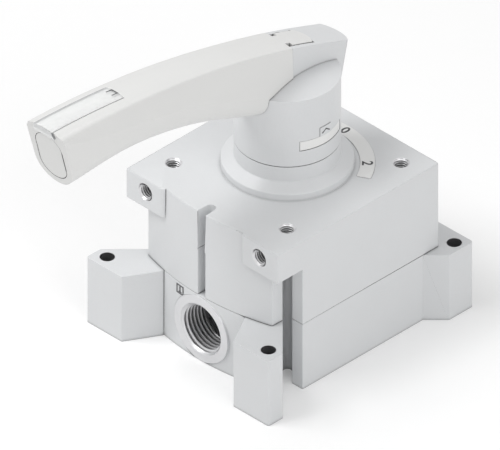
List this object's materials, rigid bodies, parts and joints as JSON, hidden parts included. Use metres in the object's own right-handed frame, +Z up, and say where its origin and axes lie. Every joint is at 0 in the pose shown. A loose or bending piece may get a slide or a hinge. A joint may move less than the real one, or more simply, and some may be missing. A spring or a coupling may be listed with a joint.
{
  "type": "hand lever air valve",
  "caption": "Rotary plate air valve with tapped pipe ports in a base with screw feet, a square cover with a dial, and a hub with a long arched hand lever that turns to either side.",
  "frame": {"origin": "on the spindle's axis, at the underside of the base", "axes": "+Z up the spindle, -Y along the lever in its middle position, +X to the side that has no pipe port"},
  "size_m": [0.096, 0.1805, 0.1487],
  "materials": {
    "housing_metal": "satin silver-grey paint on die-cast aluminium",
    "hub_metal": "satin silver-grey paint on die-cast metal",
    "grip_plastic": "finely grained moulding",
    "dial_white": "printed plate",
    "card_white": "paper card",
    "clear_cover": "clear moulded plastic",
    "steel": "turned, bright",
    "spring_steel": "drawn",
    "bronze": "turned",
    "disc_plastic": "lapped acetal",
    "seat_metal": "lapped, hard anodised",
    "seal_rubber": "smooth"
  },
  "bodies": {
    "housing": {"base_housing": "housing_metal", "cover_housing": "housing_metal", "housing_seal": "seal_rubber", "seat_gasket": "seal_rubber", "seat_plate": "seat_metal", "seat_dowels": "steel", "thrust_washer": "bronze", "lower_bush": "bronze", "upper_bush": "bronze", "wiper_ring": "seal_rubber", "stop_pin": "steel", "detent_springs": "spring_steel", "cover_screws": "steel", "dial_plate": "dial_white"},
    "lever": {"spindle": "steel", "spindle_o_rings": "seal_rubber", "rotary_disc": "disc_plastic", "disc_spring": "spring_steel", "handle_hub": "hub_metal", "hub_screw": "steel", "hub_washer": "steel", "grip_shell": "grip_plastic", "label_card": "card_white", "label_cover": "clear_cover", "end_plug": "grip_plastic"}
  },
  "joints": [
    {"name": "lever_turn", "type": "hinge", "parent": "housing", "child": "lever", "pos_m": [0, 0, 0.0655], "axis": [0, 0, 1], "range_deg": [-45, 45], "deforming": ["detent_springs"]}
  ]
}
